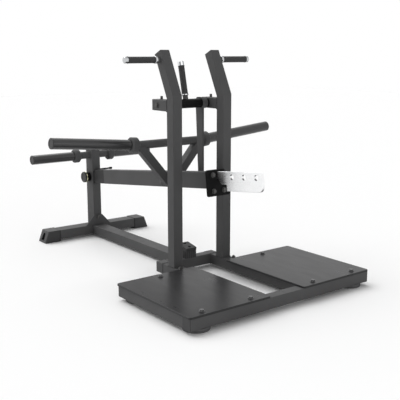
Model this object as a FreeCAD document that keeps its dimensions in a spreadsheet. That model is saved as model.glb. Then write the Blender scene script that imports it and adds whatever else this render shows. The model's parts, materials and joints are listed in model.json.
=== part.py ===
# Lever-arm belt squat machine with a hooked lever, a swing-away catch and plate storage.
# Pieces of the frame are drawn from the uprights' centre plane: Y runs to the rear, Z up from
# the floor. Pieces of the lever are drawn from its pivot, and those of the catch from its shaft.
import FreeCAD, Part
import math
import os
import re
import Sketcher

doc = FreeCAD.newDocument("BeltSquatMachine")

# Driving dimensions in millimetres and degrees
SIZES = {
    # Square tube of the frame
    "tube": 50,
    "tube_wall": 3,
    "tube_corner": 3,
    "cap_thickness": 3,
    "cap_corner": 1.5,
    "fit_gap": 0.3,
    "overrun": 5,
    # Fasteners
    "bolt_radius": 6,
    "bolt_head_radius": 9.5,
    "bolt_head_height": 6,
    "washer_radius": 12,
    "washer_thickness": 2,
    "running_gap": 0.05,
    # Platform
    "front_reach": 597,
    "deck_rear": 80,
    "deck_inset": 3,
    "foot_height": 16,
    "foot_radius": 55,
    "foot_edge": 1.5,
    "foot_groove": 2,
    "foot_groove_low": 6,
    "foot_groove_high": 8.5,
    "foot_side_inset": 66,
    "foot_end_inset": 56,
    "plate_inner": 94,
    "plate_outer": 506,
    "plate_overhang": 6,
    "plate_thickness": 8,
    "plate_corner": 12,
    "plate_edge": 2,
    "plate_bolt_rail": 178,
    "plate_bolt_side": 425,
    "plate_bolt_front": 564,
    "plate_bolt_middle": 302,
    "plate_bolt_rear": 110,
    "rail_spread": 142.5,
    "rail_rear": 119,
    # Rear
    "pivot_reach": 1004.5,
    "pivot_height": 340,
    "beam_width": 75,
    "beam_height": 50,
    "beam_low": 13,
    "post_width": 50,
    "post_depth": 75,
    "post_top": 520,
    "slot_width": 40,
    "slot_half": 36,
    "stabilizer_depth": 80,
    "stabilizer_half": 300,
    "sleeve_cap_inner": 243,
    "sleeve_cap_top": 314,
    "sleeve_cap_bottom": 339,
    "sleeve_cap_wall": 2,
    "sleeve_cap_corner": 4,
    "recess_low": 12,
    "recess_high": 52,
    "recess_low_half": 18,
    "recess_high_half": 11,
    "recess_round": 8,
    "recess_depth": 9,
    "gusset_thickness": 5,
    "gusset_top": 121,
    "gusset_top_half": 25,
    "gusset_bottom_half": 77,
    "gusset_bolt": 108,
    # Weight horns
    "bar_radius": 20,
    "bar_wall": 4,
    "horn_radius": 25,
    "collar_radius": 37,
    "collar_edge": 6,
    "horn_cap": 5,
    "horn_cap_edge": 1.5,
    "horn_dish_radius": 18,
    "horn_dish": 1.5,
    "storage_height": 465,
    "storage_collar_start": 89,
    "storage_collar": 37,
    "storage_horn": 245,
    "load_reach": 239,
    "load_height": 609,
    "load_bend": 188,
    "load_tilt": 5.3,
    "load_collar": 40,
    "load_horn": 399,
    # Pivot
    "axle_radius": 12.5,
    "housing_radius": 25,
    "housing_edge": 2,
    "housing_length": 27,
    "pivot_ring": 3,
    "pivot_ring_radius": 31,
    "pivot_ring_edge": 0.8,
    "pivot_cap": 11,
    "pivot_cap_radius": 30,
    "pivot_cap_edge": 2.5,
    "pivot_cap_dish_radius": 20,
    "pivot_cap_dish": 2,
    "side_play": 0.5,
    "pin_radius": 4.5,
    "pin_above": 37,
    "pin_length": 80,
    "pin_knob_radius": 6.5,
    "pin_knob": 14,
    # Uprights
    "lean": 25.5,
    "bend_above": 13.5,
    "head_length": 214.5,
    "bracket_rear": 137,
    "shaft_height": 804,
    "shaft_reach": 99,
    "stud_radius": 6,
    "stud_height": 15,
    "stud_edge": 1.5,
    # Handles
    "grip_along": 180,
    "rod_radius": 10,
    "stub_radius": 12.5,
    "stub_length": 15,
    "ring_radius": 17,
    "ring_length": 11,
    "ring_edge": 2,
    "grip_radius": 14.5,
    "grip_lip": 3,
    "grip_lip_rise": 1,
    "grip_length": 142,
    "knob_radius": 14.5,
    "knob_length": 16,
    "knob_edge": 2.5,
    "knob_socket": 8,
    # Bump stop
    "stop_half": 30,
    "stop_pad": 14,
    "stop_pad_edge": 2.5,
    "stop_front": 11,
    "stop_rear": 11,
    "stop_gap": 0.5,
    "stop_screw_along": 20,
    "stop_screw_radius": 7.5,
    "stop_screw_deep": 6,
    "lever_drop": 17.9,
    "lever_rise": 10,
    # Lever
    "lever_tilt": 6.7,
    "arm_width": 50,
    "arm_height": 76,
    "arm_wall": 4,
    "arm_start": 163,
    "arm_end": 1140.5,
    "yoke_width": 36,
    "yoke_gap": 1,
    "yoke_neck": 27,
    "yoke_disc_radius": 48,
    "hub_radius": 30,
    "strut": 40,
    "strut_reach": 183,
    "strut_drop": 3,
    "strut_cope": 8,
    "strut_trim": 1.5,
    "flange_thickness": 8,
    "flange_half": 65,
    "flange_height": 120,
    "flange_drop": 10,
    "flange_edge": 1,
    "flange_corner": 9,
    "flange_clip": 29,
    "flange_bolt_across": 58,
    "flange_bolt_up": 73,
    "foot_bolt_along": 729,
    "foot_bolt_drop": 14,
    # Hook plate
    "hook_thickness": 10,
    "hook_top": 40,
    "hook_bottom": 47,
    "hook_hole_radius": 12.5,
    "hook_first": 101.5,
    "hook_pitch": 80,
    "hook_hole_up": 15.5,
    "hook_beyond": 42,
    "hook_nose_low": 32,
    "hook_nose_high": 10,
    "hook_edge": 1,
    "notch_seat": 10,
    "notch_start": 28.5,
    "notch_end": 62.5,
    "notch_height": 18.5,
    # Catch
    "peg_along": 925,
    "peg_radius": 10,
    "peg_out": 72,
    "shaft_radius": 21.5,
    "hub_start": 84,
    "hub_length": 22,
    "hub_ring_radius": 25.5,
    "bush_length": 4,
    "bush_radius": 23.5,
    "catch_out": 88,
    "catch_thickness": 10,
    "catch_front": 17,
    "catch_rear": 34,
    "catch_foot_rear": 13,
    "catch_shoulder": 26,
    "catch_above": 27,
    "catch_margin": 9,
    "catch_round": 14,
    "catch_foot_round": 7,
    "nose_in": 40,
    "nose_clear": 1.7,
    "nose_gap": 2.9,
    "nose_rear": 11,
    "nose_height": 13,
    "nose_edge": 3,
    "handle_side": 4,
    "handle_angle": 12.5,
    "handle_stub": 37,
    "handle_ring": 7,
    "handle_grip": 133,
    "handle_knob": 20,
}

# Sizes that follow from the driving ones
DERIVED = {
    "half_tube": "tube / 2",
    "deck_low": "foot_height",
    "deck_top": "foot_height + tube",
    "deck_end": "deck_rear + cap_thickness",
    "frame_front": "front_reach - deck_inset",
    "frame_outer": "plate_outer - 2 * cap_thickness",
    "foot_along": "frame_outer - foot_side_inset",
    "rail_outer": "rail_spread + half_tube",
    "rail_inner": "rail_spread - half_tube",
    "rear_edge": "pivot_reach + post_depth / 2",
    "rear_reach": "rear_edge + sleeve_cap_wall",
    "origin_shift": "(front_reach - rear_reach) / 2",
    "beam_top": "beam_low + beam_height",
    "post_front": "pivot_reach - post_depth / 2",
    "stabilizer_front": "rear_edge - stabilizer_depth",
    "cap_top": "beam_top + sleeve_cap_wall",
    "bend_height": "shaft_height + half_tube + bend_above",
    "axis_y": "head_length * sin(lean)",
    "axis_z": "bend_height + head_length * cos(lean)",
    "edge_y": "half_tube * cos(lean)",
    "edge_z": "half_tube * sin(lean)",
    "bracket_low": "shaft_height - half_tube",
    "shaft_half": "rail_inner - side_play",
    "grip_y": "grip_along * sin(lean)",
    "grip_z": "bend_height + grip_along * cos(lean)",
    "housing_end": "post_width / 2 + housing_length",
    "ring_end": "housing_end + pivot_ring",
    "pin_y": "pivot_reach - pin_radius",
    "pin_z": "pivot_height + pin_above",
    "storage_horn_start": "storage_collar_start + storage_collar",
    "storage_end": "storage_horn_start + storage_horn",
    "load_skip": "bar_radius * sin(load_tilt)",
    "load_horn_start": "load_skip + load_collar",
    "load_end": "load_horn_start + load_horn",
    "stop_slope": "lever_drop - lever_tilt",
    "stop_level": "arm_height / 2 + stop_gap",
    "stop_start": "(pivot_reach - rail_rear - stop_rear) / cos(stop_slope)",
    "stop_end": "(pivot_reach - rail_rear + tube + stop_front) / cos(stop_slope)",
    "stop_seat": "(stop_level + stop_pad) / cos(stop_slope)",
    "hook_start": "arm_end + flange_thickness",
    "hook_last": "hook_start + hook_first + 2 * hook_pitch",
    "hook_end": "hook_last + hook_beyond",
    "foot_level": "pivot_height + (pivot_reach - load_reach) * tan(lever_tilt) - strut_drop",
    "strut_lean": "atan((strut_reach - arm_width / 2) / (load_height - foot_level))",
    "foot_half": "strut / 2 / sin(strut_lean)",
    "strut_top": "load_height - strut_cope",
    "strut_side": "load_bend - strut_trim",
    "strut_inner": "arm_width / 2 + (strut_top - foot_level - foot_half) * tan(strut_lean)",
    "strut_corner": "foot_level - foot_half + (strut_side - arm_width / 2) / tan(strut_lean)",
    "bore_half": "(strut / 2 - tube_wall) / sin(strut_lean)",
    "bore_side": "strut_side - tube_wall",
    "bore_inner": "arm_width / 2 + (strut_top - foot_level - bore_half) * tan(strut_lean)",
    "bore_corner": "foot_level - bore_half + (bore_side - arm_width / 2) / tan(strut_lean)",
    "catch_in": "catch_out - catch_thickness",
    "hub_end": "hub_start + hub_length",
    "yoke_front": "post_depth / 2 + yoke_gap",
    "rise": "lever_tilt + lever_rise",
    "peg_reach": "pivot_reach - peg_along * cos(lever_tilt)",
    "peg_height": "pivot_height + peg_along * sin(lever_tilt)",
    "nose_front": "shaft_reach - peg_reach - peg_radius - nose_clear",
    "nose_top": "shaft_height - peg_height + peg_radius + nose_gap",
    "catch_below": "nose_top + nose_height + catch_margin",
    "knob_start": "stub_length + ring_length + grip_length",
    "handle_knob_start": "handle_stub + handle_ring + handle_grip",
}

WORD = re.compile(r"[a-z][a-z_]*")
UP = FreeCAD.Vector(0, 0, 1)
ALONG_X = FreeCAD.Rotation(FreeCAD.Vector(0, 1, 0), 90)
ALONG_Y = FreeCAD.Rotation(FreeCAD.Vector(1, 0, 0), -90)
TO_LEFT = FreeCAD.Rotation(UP, 180)
AXES = {
    "X": FreeCAD.Vector(1, 0, 0),
    "Y": FreeCAD.Vector(0, 1, 0),
    "Z": UP,
}
PLANE_OF = {"X": "YZ", "Y": "XZ", "Z": "XY"}
SIDES = {"left": "-", "right": ""}
ON_POINT = 1e-6

sheet = doc.addObject("Spreadsheet::Sheet", "sizes")
for row, (alias, value) in enumerate(SIZES.items(), start=1):
    sheet.set(f"A{row}", alias.replace("_", " "))
    sheet.set(f"B{row}", str(value))
    sheet.setAlias(f"B{row}", alias)
doc.recompute()

nodes = []


# Helpers that bind objects to the sheet


def cells(text):
    """Write a sum of named sizes as an expression on the sheet's cells."""
    def swap(match):
        word = match.group(0)
        if word in DERIVED:
            return "(" + cells(DERIVED[word]) + ")"
        if word in SIZES:
            return "sizes." + word
        return word
    return WORD.sub(swap, text)


def bind(item, **sizes):
    """Bind properties of an object to sums of named sizes."""
    for name, text in sizes.items():
        item.setExpression(name, cells(text))
    return item


def place(item, x="0", y="0", z="0", axis=None, turn=None, rotation=None):
    """Put an object at a bound place, turned about one axis by a bound angle."""
    if axis:
        item.Placement = FreeCAD.Placement(FreeCAD.Vector(), FreeCAD.Rotation(AXES[axis], 1))
        item.setExpression("Placement.Rotation.Angle", cells(turn))
    elif rotation:
        item.Placement = FreeCAD.Placement(FreeCAD.Vector(), rotation)
    for name, text in (("x", x), ("y", y), ("z", z)):
        item.setExpression(f"Placement.Base.{name}", cells(text))
    return item


def on_frame(item):
    """Stand a finished piece in the frame, whose origin lies below the uprights' centre plane."""
    nodes.append(item)
    return place(item, y="origin_shift")


def on_lever(item):
    """Hang a finished piece on the lever, with its origin on the pivot's axis."""
    nodes.append(item)
    return place(item, y="origin_shift + pivot_reach", z="pivot_height", axis="X", turn="-lever_tilt")


def on_catch(item, angle="0", x="0"):
    """Hang a finished piece on the catch, with its origin on the shaft's axis."""
    nodes.append(item)
    return place(item, x, "origin_shift + shaft_reach", "shaft_height", axis="X", turn=angle)


def new_body(name):
    """Start a sub-part made of sketched features."""
    body = doc.addObject("PartDesign::Body", name)
    body.Label = name
    return body


def draw(body, plane, loops=(), circles=(), offset="0"):
    """Sketch closed outlines and circles on one of the body's own origin planes."""
    sketch = body.newObject("Sketcher::SketchObject", body.Name + "_sketch")
    support = [item for item in body.Origin.OriginFeatures if item.Role == plane + "_Plane"]
    sketch.AttachmentSupport = (support[0], [""])
    sketch.MapMode = "FlatFace"
    sketch.setExpression("AttachmentOffset.Base.z", cells(offset))
    fill(sketch, loops, circles)
    return sketch


def fill(sketch, loops=(), circles=()):
    """Draw closed outlines of straight sides and circles, each bound to the sheet."""
    for points in loops:
        first = sketch.GeometryCount
        count = len(points)
        angles = [2 * math.pi * index / count for index in range(count)]
        ring = [FreeCAD.Vector(math.cos(angle), math.sin(angle), 0) for angle in angles]
        for index in range(count):
            sketch.addGeometry(Part.LineSegment(ring[index], ring[(index + 1) % count]), False)
        for index in range(count):
            following = first + (index + 1) % count
            sketch.addConstraint(Sketcher.Constraint("Coincident", first + index, 2, following, 1))
        for index, (x, y) in enumerate(points):
            spot(sketch, first + index, 1, x, y, ring[index])
    for x, y, radius in circles:
        centre = FreeCAD.Vector()
        circle = sketch.addGeometry(Part.Circle(centre, UP, 1), False)
        spot(sketch, circle, 3, x, y, centre)
        size = sketch.addConstraint(Sketcher.Constraint("Radius", circle, 1))
        sketch.setExpression(f"Constraints[{size}]", cells(radius))


def spot(sketch, shape, end, x, y, start):
    """Tie one point of a sketch to its bound place."""
    across = sketch.addConstraint(Sketcher.Constraint("DistanceX", shape, end, start.x))
    sketch.setExpression(f"Constraints[{across}]", cells(x))
    upward = sketch.addConstraint(Sketcher.Constraint("DistanceY", shape, end, start.y))
    sketch.setExpression(f"Constraints[{upward}]", cells(y))


def rectangle(x_low, x_high, y_low, y_high):
    """Corners of a rectangle, in order."""
    return [(x_low, y_low), (x_high, y_low), (x_high, y_high), (x_low, y_high)]


def pad(body, sketch, length, both=False):
    """Thicken a sketch, on one side of its plane or evenly on both."""
    feature = body.newObject("PartDesign::Pad", body.Name + "_pad")
    feature.Profile = sketch
    feature.SideType = "Symmetric" if both else "One side"
    bind(feature, Length=length)
    doc.recompute()
    return feature


def pocket(body, sketch, length=None, both=False, back=False):
    """Cut a sketch out of the body, right through unless a length is given."""
    before = body.Shape.Volume
    feature = body.newObject("PartDesign::Pocket", body.Name + "_pocket")
    feature.Profile = sketch
    feature.SideType = "Symmetric" if both else "One side"
    feature.Reversed = back
    if length:
        bind(feature, Length=length)
    else:
        feature.Type = "ThroughAll"
    doc.recompute()
    if not feature.Shape.Volume < before:
        raise ValueError(f"{feature.Name} cuts nothing")
    return feature


def edges_at(feature, sketch, corners):
    """Names of the straight edges that stand on given corners of an outline."""
    normal = sketch.Placement.Rotation.multVec(UP)
    spots = [sketch.Placement.multVec(sketch.getPoint(corner, 1)) for corner in corners]
    names = []
    for index, edge in enumerate(feature.Shape.Edges, start=1):
        if edge.Curve.TypeId != "Part::GeomLine":
            continue
        if edge.Curve.Direction.cross(normal).Length > ON_POINT:
            continue
        for point in spots:
            away = (point - edge.Curve.Location).cross(edge.Curve.Direction).Length
            if away < sheet.get("tube") * ON_POINT:
                names.append(f"Edge{index}")
                break
    return names


def soften(body, sketch, corners, radius):
    """Round the body's edges that stand on given corners of an outline."""
    feature = body.newObject("PartDesign::Fillet", body.Name + "_fillet")
    base = feature.BaseFeature or body.Tip
    feature.Base = (base, edges_at(base, sketch, corners))
    bind(feature, Radius=radius)
    doc.recompute()
    return feature


def bevel(body, names, size):
    """Chamfer edges given by name."""
    base = body.Tip
    feature = body.newObject("PartDesign::Chamfer", body.Name + "_chamfer")
    feature.Base = (base, names)
    bind(feature, Size=size)
    doc.recompute()
    return feature


def rim(body, axis, high=True):
    """Names of the edges on the body's outermost flat face along an axis."""
    feature = body.Tip
    flats = [face for face in feature.Shape.Faces if face.Surface.TypeId == "Part::GeomPlane"]
    flats = [face for face in flats if face.Surface.Axis.cross(AXES[axis]).Length < ON_POINT]
    sign = 1 if high else -1
    outer = max(flats, key=lambda face: sign * face.CenterOfMass.dot(AXES[axis]))
    wire = outer.OuterWire
    names = []
    for index, edge in enumerate(feature.Shape.Edges, start=1):
        if any(edge.isSame(other) for other in wire.Edges):
            names.append(f"Edge{index}")
    return names


def tube_run(name, axis, start, end, section, wall="tube_wall", corner="tube_corner"):
    """Hollow rectangular tube along one axis, its section given in the plane across it."""
    body = new_body(name)
    x_low, x_high, y_low, y_high = section
    inner = [f"{x_low} + {wall}", f"{x_high} - {wall}", f"{y_low} + {wall}", f"{y_high} - {wall}"]
    outline = rectangle(x_low, x_high, y_low, y_high)
    # The plane across Y looks to the front, so its offset and its pad run the other way.
    offset = f"-({end})" if axis == "Y" else start
    sketch = draw(body, PLANE_OF[axis], [outline, rectangle(*inner)], offset=offset)
    pad(body, sketch, f"{end} - ({start})")
    soften(body, sketch, range(4), corner)
    return body


def between(side, inner, outer):
    """Low and high X of a piece that lies between two distances on one side."""
    if SIDES[side]:
        return f"-({outer})", f"-({inner})"
    return inner, outer


def disc(name, radius, length, x, y, z, rotation=ALONG_X, bore=None):
    """Plain or bored cylinder, by default along X, as a piece of a group."""
    solid = doc.addObject("Part::Cylinder", name)
    bind(solid, Radius=radius, Height=length)
    place(solid, x, y, z, rotation=rotation)
    if not bore:
        return solid
    hole = doc.addObject("Part::Cylinder", name + "_bore")
    bind(hole, Radius=bore, Height=length)
    place(hole, x, y, z, rotation=rotation)
    cut = doc.addObject("Part::Cut", name + "_ring")
    cut.Base = solid
    cut.Tool = hole
    return cut


def group(name, pieces):
    """One sub-part that holds identical or matching separate solids."""
    compound = doc.addObject("Part::Compound", name)
    compound.Label = name
    compound.Links = pieces
    return compound


def turned(name, profile, axis="X"):
    """Piece turned on a lathe: its outline gives places along the axis and radii."""
    body = new_body(name)
    if axis == "Z":
        profile = [(radius, along) for along, radius in profile]
    sketch = draw(body, "XZ" if axis == "Z" else "XY", [profile])
    feature = body.newObject("PartDesign::Revolution", body.Name + "_turning")
    feature.Profile = sketch
    line = [item for item in body.Origin.OriginFeatures if item.Role == axis + "_Axis"]
    feature.ReferenceAxis = (line[0], [""])
    doc.recompute()
    return body


def ring_outline(start, end, bore, outer, edge):
    """Outline of a turned ring, bevelled at both rims."""
    return [
        (start, bore),
        (end, bore),
        (end, f"{outer} - {edge}"),
        (f"{end} - {edge}", outer),
        (f"{start} + {edge}", outer),
        (start, f"{outer} - {edge}"),
    ]


def dished_outline(start, end, outer, edge, dish_radius, dish):
    """Outline of a turned lid, bevelled at its outer rim and dished in its face."""
    return [
        (start, "0"),
        (f"{end} - {dish}", "0"),
        (f"{end} - {dish}", f"{dish_radius} - {dish}"),
        (end, dish_radius),
        (end, f"{outer} - {edge}"),
        (f"{end} - {edge}", outer),
        (start, outer),
    ]


def knob_outline(start, length):
    """Outline of a chromed handle end with a socket for the rod."""
    return [
        (start, "rod_radius"),
        (start, "knob_radius"),
        (f"{start} + {length} - knob_edge", "knob_radius"),
        (f"{start} + {length}", "knob_radius - knob_edge"),
        (f"{start} + {length}", "0"),
        (f"{start} + knob_socket", "0"),
        (f"{start} + knob_socket", "rod_radius"),
    ]


def grip_outline(start, end):
    """Outline of a rubber grip with a raised lip at each end."""
    lip = "grip_radius + grip_lip_rise"
    return [
        (start, "rod_radius"),
        (end, "rod_radius"),
        (end, lip),
        (f"{end} - grip_lip", lip),
        (f"{end} - grip_lip - grip_lip_rise", "grip_radius"),
        (f"{start} + grip_lip + grip_lip_rise", "grip_radius"),
        (f"{start} + grip_lip", lip),
        (start, lip),
    ]


def cover(name, axis, section, start, outward=True):
    """Moulded cover of a tube's end, rounded as the tube is, with a bevelled rim."""
    body = new_body(name)
    # The plane across Y looks to the front, so its offset and its pad run the other way.
    offset = f"-({start} + cap_thickness)" if axis == "Y" else start
    sketch = draw(body, PLANE_OF[axis], [rectangle(*section)], offset=offset)
    pad(body, sketch, "cap_thickness")
    soften(body, sketch, range(4), "tube_corner")
    bevel(body, rim(body, axis, outward), "cap_corner")
    return body


def hex_bolt(name, x, y, z, rotation, length="0"):
    """Hexagon head on its washer, with an optional shank below, as a piece of a group."""
    turn = FreeCAD.Placement(FreeCAD.Vector(), rotation)
    outward = turn.multVec(UP)
    washer = disc(name + "_washer", "washer_radius", "washer_thickness", x, y, z, rotation)
    head = doc.addObject("Part::Prism", name + "_head")
    head.Polygon = 6
    bind(head, Circumradius="bolt_head_radius", Height="bolt_head_height")
    steps = [f"{round(part)} * washer_thickness" for part in outward]
    place(head, f"{x} + {steps[0]}", f"{y} + {steps[1]}", f"{z} + {steps[2]}", rotation=rotation)
    pieces = [washer, head]
    if length != "0":
        shank = doc.addObject("Part::Cylinder", name + "_shank")
        bind(shank, Radius="bolt_radius", Height=length)
        steps = [f"{round(part)} * ({length})" for part in outward]
        place(shank, f"{x} - {steps[0]}", f"{y} - {steps[1]}", f"{z} - {steps[2]}", rotation=rotation)
        pieces.append(shank)
    fused = doc.addObject("Part::MultiFuse", name)
    fused.Shapes = pieces
    return fused


# Platform, rails and cross tube


def make_platform():
    """Square tubes that carry the two foot plates."""
    level = ("deck_low", "deck_top")
    front = ("-frame_front", "-frame_front + tube")
    on_frame(tube_run("front_tube", "X", "-frame_outer", "frame_outer", front + level))
    for side in SIDES:
        across = between(side, "frame_outer - tube", "frame_outer")
        run = ("-frame_front + tube", "-deck_end")
        on_frame(tube_run(f"side_tube_{side}", "Y", *run, across + level))
        across = between(side, "rail_outer", "frame_outer - tube")
        depth = ("-deck_end - tube", "-deck_end")
        on_frame(tube_run(f"rear_tube_{side}", "X", *across, depth + level))
        across = between(side, "rail_inner", "rail_outer")
        run = ("-frame_front + tube", "rail_rear")
        on_frame(tube_run(f"rail_{side}", "Y", *run, across + level))
    depth = ("rail_rear - tube", "rail_rear")
    on_frame(tube_run("cross_tube", "X", "-rail_inner", "rail_inner", depth + level))


def make_frame_caps():
    """Covers on the open ends of the front tube, the side tubes and the rails."""
    covers = []
    level = ("deck_low", "deck_top")
    depth = ("-frame_front", "-frame_front + tube")
    for side in SIDES:
        x = between(side, "frame_outer", "frame_outer + cap_thickness")[0]
        covers.append(cover(f"front_cover_{side}", "X", depth + level, x, side == "right"))
        across = between(side, "frame_outer - tube", "frame_outer")
        covers.append(cover(f"side_cover_{side}", "Y", across + level, "-deck_end"))
        across = between(side, "rail_inner", "rail_outer")
        covers.append(cover(f"rail_cover_{side}", "Y", across + level, "rail_rear"))
    on_frame(group("frame_end_caps", covers))


def make_foot_plates():
    """Flat steel plates to stand on, each held by three bolts."""
    heads = []
    for side, sign in SIDES.items():
        body = new_body(f"foot_plate_{side}")
        across = between(side, "plate_inner", "plate_outer")
        outline = rectangle(*across, "-front_reach", "plate_overhang - deck_rear")
        sketch = draw(body, "XY", [outline], offset="deck_top")
        pad(body, sketch, "plate_thickness")
        soften(body, sketch, range(4), "plate_corner")
        bevel(body, rim(body, "Z"), "plate_edge")
        on_frame(body)
        spots = [
            (f"{sign}plate_bolt_rail", "-plate_bolt_front"),
            (f"{sign}plate_bolt_side", "-plate_bolt_front"),
            (f"{sign}plate_bolt_middle", "-plate_bolt_rear"),
        ]
        for index, (x, y) in enumerate(spots):
            top = "deck_top + plate_thickness"
            name = f"plate_bolt_{side}_{index}"
            heads.append(hex_bolt(name, x, y, top, FreeCAD.Rotation()))
    on_frame(group("plate_bolts", heads))


def make_feet():
    """Round grooved feet under the platform's side tubes."""
    outline = [
        ("0", "0"),
        ("0", "foot_radius - foot_edge"),
        ("foot_edge", "foot_radius"),
        ("foot_groove_low", "foot_radius"),
        ("foot_groove_low", "foot_radius - foot_groove"),
        ("foot_groove_high", "foot_radius - foot_groove"),
        ("foot_groove_high", "foot_radius"),
        ("foot_height", "foot_radius"),
        ("foot_height", "0"),
    ]
    feet = []
    for side, sign in SIDES.items():
        for index, y in enumerate(("-front_reach + foot_end_inset", "-deck_rear - foot_end_inset")):
            foot = turned(f"foot_{side}_{index}", outline, "Z")
            feet.append(place(foot, f"{sign}foot_along", y, "0"))
    on_frame(group("platform_feet", feet))


# Main beam, rear stabiliser and post


def make_beam():
    """Low beam from the cross tube to the stabiliser."""
    section = ("-beam_width / 2", "beam_width / 2", "beam_low", "beam_top")
    on_frame(tube_run("main_beam", "Y", "rail_rear", "stabilizer_front", section))
    section = ("stabilizer_front", "rear_edge", "beam_low", "beam_top")
    on_frame(tube_run("rear_stabilizer", "X", "-stabilizer_half", "stabilizer_half", section))


def make_stabilizer_cap(side):
    """Moulded foot that slides over the stabiliser's end, slanted and hollowed at its face."""
    sign = SIDES[side]
    body = new_body(f"stabilizer_cap_{side}")
    outline = [
        (f"{sign}sleeve_cap_inner", "0"),
        (f"{sign}sleeve_cap_bottom", "0"),
        (f"{sign}sleeve_cap_top", "cap_top"),
        (f"{sign}sleeve_cap_inner", "cap_top"),
    ]
    centre = "rear_edge - stabilizer_depth / 2"
    sketch = draw(body, "XZ", [outline], offset=f"-({centre})")
    pad(body, sketch, "stabilizer_depth + 2 * sleeve_cap_wall", both=True)
    socket = rectangle("stabilizer_front", "rear_edge", "beam_low", "beam_top")
    cut = draw(body, "YZ", [socket], offset=f"{sign}sleeve_cap_inner")
    pocket(body, cut, "stabilizer_half - sleeve_cap_inner", back=side == "right")
    base = body.Tip
    edges = slanted_edges(body)
    feature = body.newObject("PartDesign::Fillet", body.Name + "_rim_fillet")
    feature.Base = (base, edges)
    bind(feature, Radius="sleeve_cap_corner")
    doc.recompute()
    low = f"{centre} - recess_low_half", f"{centre} + recess_low_half"
    high = f"{centre} - recess_high_half", f"{centre} + recess_high_half"
    outline = [(low[0], "recess_low"), (low[1], "recess_low"), (high[1], "recess_high"),
               (high[0], "recess_high")]
    outside = "sleeve_cap_bottom + overrun"
    cut = draw(body, "YZ", [outline], offset=f"{sign}({outside})")
    pocket(body, cut, f"{outside} - sleeve_cap_top + recess_depth", back=side == "left")
    soften(body, cut, (2, 3), "recess_round")
    on_frame(body)


def slanted_edges(body):
    """Names of the outer edges of the cap's slanted end face."""
    shape = body.Tip.Shape
    for face in shape.Faces:
        if face.Surface.TypeId != "Part::GeomPlane":
            continue
        normal = face.Surface.Axis
        if abs(normal.x) > ON_POINT and abs(normal.z) > ON_POINT:
            rims = face.OuterWire.Edges
            break
    return [f"Edge{index}" for index, edge in enumerate(shape.Edges, start=1)
            if any(edge.isSame(other) for other in rims)]


def make_post():
    """Upright post, slotted in front for the lever's yoke and bored for pivot and storage tube."""
    body = new_body("rear_post")
    half = "post_width / 2"
    outer = rectangle(f"-{half}", half, "post_front", "rear_edge")
    inner = rectangle(
        f"-{half} + tube_wall", f"{half} - tube_wall", "post_front + tube_wall", "rear_edge - tube_wall"
    )
    sketch = draw(body, "XY", [outer, inner], offset="beam_top")
    pad(body, sketch, "post_top - cap_thickness - beam_top")
    soften(body, sketch, range(4), "tube_corner")
    slot = rectangle(
        "-slot_width / 2", "slot_width / 2", "pivot_height - slot_half", "pivot_height + slot_half"
    )
    cut = draw(body, "XZ", [slot], offset="-(post_front + tube_wall + overrun)")
    pocket(body, cut, "tube_wall + 2 * overrun", back=True)
    bores = [
        ("pivot_reach", "pivot_height", "axle_radius + fit_gap"),
        ("pivot_reach", "storage_height", "bar_radius"),
    ]
    cut = draw(body, "YZ", circles=bores, offset="-post_width")
    pocket(body, cut, back=True)
    cut = draw(body, "YZ", circles=[("pin_y", "pin_z", "pin_radius")])
    pocket(body, cut, back=True)
    on_frame(body)
    section = (f"-{half}", half, "post_front", "rear_edge")
    on_frame(cover("rear_post_cap", "Z", section, "post_top - cap_thickness"))


def make_gusset():
    """Trapezoid plate that ties the post to the stabiliser."""
    body = new_body("rear_joint_plate")
    outline = [
        ("-gusset_bottom_half", "beam_top"),
        ("gusset_bottom_half", "beam_top"),
        ("gusset_top_half", "gusset_top"),
        ("-gusset_top_half", "gusset_top"),
    ]
    sketch = draw(body, "XZ", [outline], offset="-post_front")
    pad(body, sketch, "gusset_thickness")
    on_frame(body)


# Storage horns


def make_storage():
    """Tube through the post with a collar, a sleeve and an end cap on each side."""
    reach = "pivot_reach"
    height = "storage_height"
    body = new_body("storage_tube")
    rings = [(reach, height, "bar_radius"), (reach, height, "bar_radius - bar_wall")]
    sketch = draw(body, "YZ", circles=rings, offset="-storage_end")
    pad(body, sketch, "2 * storage_end")
    on_frame(body)
    collars = []
    covers = []
    ring = ring_outline("storage_collar_start", "storage_horn_start", "bar_radius", "collar_radius",
                        "collar_edge")
    for side in SIDES:
        turn = None if side == "right" else TO_LEFT
        collar = turned(f"storage_collar_{side}", ring)
        collars.append(place(collar, "0", reach, height, rotation=turn))
        covers.append(place(horn_lid(f"storage_cover_{side}", "storage_end"), "0", reach, height,
                            rotation=turn))
        sleeve = new_body(f"storage_sleeve_{side}")
        rings = [(reach, height, "horn_radius"), (reach, height, "bar_radius")]
        start = between(side, "storage_horn_start", "storage_end")[0]
        sketch = draw(sleeve, "YZ", circles=rings, offset=start)
        pad(sleeve, sketch, "storage_horn")
        on_frame(sleeve)
    on_frame(group("storage_collars", collars))
    on_frame(group("storage_end_caps", covers))


def horn_lid(name, start):
    """Dished lid that closes the end of a weight horn."""
    outline = dished_outline(start, f"{start} + horn_cap", "horn_radius", "horn_cap_edge",
                             "horn_dish_radius", "horn_dish")
    return turned(name, outline)


# Pivot of the lever


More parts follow.
